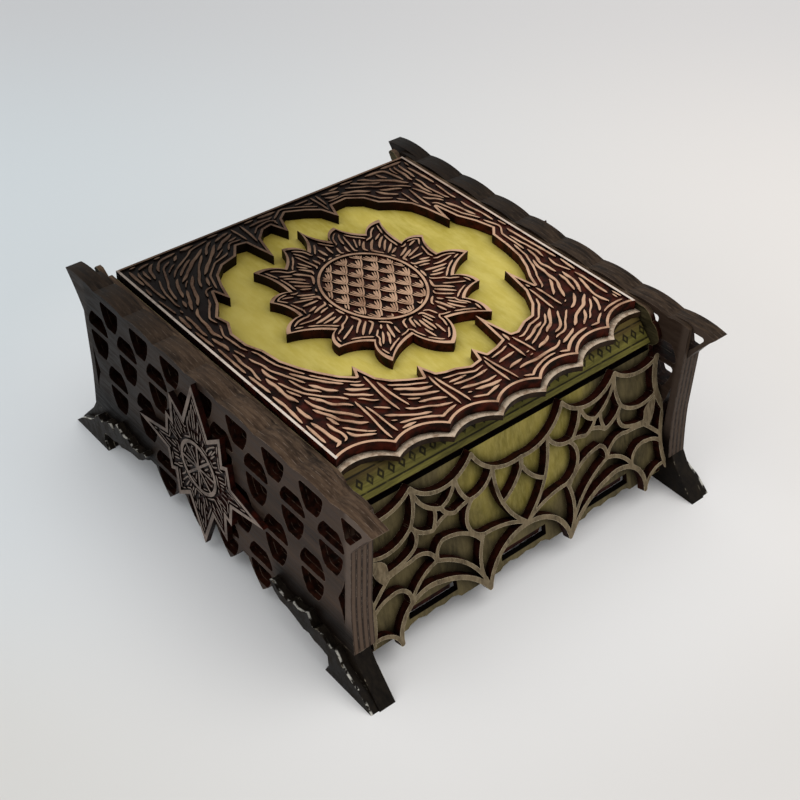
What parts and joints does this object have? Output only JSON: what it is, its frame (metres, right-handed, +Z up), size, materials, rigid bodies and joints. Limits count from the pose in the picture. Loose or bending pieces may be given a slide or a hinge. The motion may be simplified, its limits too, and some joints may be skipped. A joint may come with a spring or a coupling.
{
  "type": "dice box with hinged lid",
  "caption": "Square wooden dice box with a hinged carved lid, layered lattice side panels, web fretwork front and four rough splayed feet.",
  "frame": {"origin": "on the table, at the middle of the footprint of the four feet", "axes": "+Z up, front (web fretwork and free edge of the lid) towards -Y, hinges towards +Y, +X to the right seen from the front"},
  "size_m": [0.207, 0.2346, 0.0951],
  "materials": {
    "lattice_wood": "matt dark brown paint over laser-cut plywood, burnt red-brown cut edges, paler dry-brushed corners",
    "foot_wood": "matt near-black paint, worn grey along the broken edges",
    "emblem_wood": "dark red-brown burnt ground with pale dry-brushed lines",
    "carved_wood": "pinkish beige dry-brushed relief over a dark red-brown engraved ground",
    "green_gold_wood": "brushed yellow-green paint with gold and darker green streaks",
    "olive_wood": "olive and yellow-green brushed paint, darker towards the ribs",
    "web_wood": "olive brown paint, pale dry-brushed top edges, burnt red-brown sides",
    "side_wood": "dark olive paint, burnt edges",
    "dark_ply": "dark red-brown stained plywood, low sheen",
    "brass": "plain brushed brass, slightly aged"
  },
  "bodies": {
    "base": {"floor_panel": "dark_ply", "front_wall": "olive_wood", "front_inner_lip": "dark_ply", "base_back_wall": "dark_ply", "front_web_fretwork": "web_wood", "side_wall_left": "side_wood", "side_wall_right": "side_wood", "lattice_inner_left": "lattice_wood", "lattice_inner_right": "lattice_wood", "lattice_second_left": "lattice_wood", "lattice_second_right": "lattice_wood", "lattice_third_left": "lattice_wood", "lattice_third_right": "lattice_wood", "lattice_outer_left": "lattice_wood", "lattice_outer_right": "lattice_wood", "star_emblem_left": "emblem_wood", "star_emblem_right": "emblem_wood", "foot_core_back_left": "foot_wood", "foot_core_back_right": "foot_wood", "foot_core_front_left": "foot_wood", "foot_core_front_right": "foot_wood", "foot_rock_back_left": "foot_wood", "foot_rock_back_right": "foot_wood", "foot_rock_front_left": "foot_wood", "foot_rock_front_right": "foot_wood", "hinge_base_leaf_left": "brass", "hinge_base_leaf_right": "brass", "hinge_pin_left": "brass", "hinge_pin_right": "brass", "hinge_screws_base": "brass"},
    "lid": {"lid_board": "green_gold_wood", "lid_bark_frame": "carved_wood", "lid_crest": "carved_wood", "lid_front_wall": "green_gold_wood", "lid_back_wall": "dark_ply", "lid_side_wall_left": "dark_ply", "lid_side_wall_right": "dark_ply", "hinge_lid_leaf_left": "brass", "hinge_lid_leaf_right": "brass", "hinge_screws_lid": "brass"}
  },
  "joints": [
    {"name": "lid_hinge", "type": "hinge", "parent": "base", "child": "lid", "pos_m": [0, 0.0943, 0.0771], "axis": [-1, 0, 0], "range_deg": [0, 105]}
  ]
}
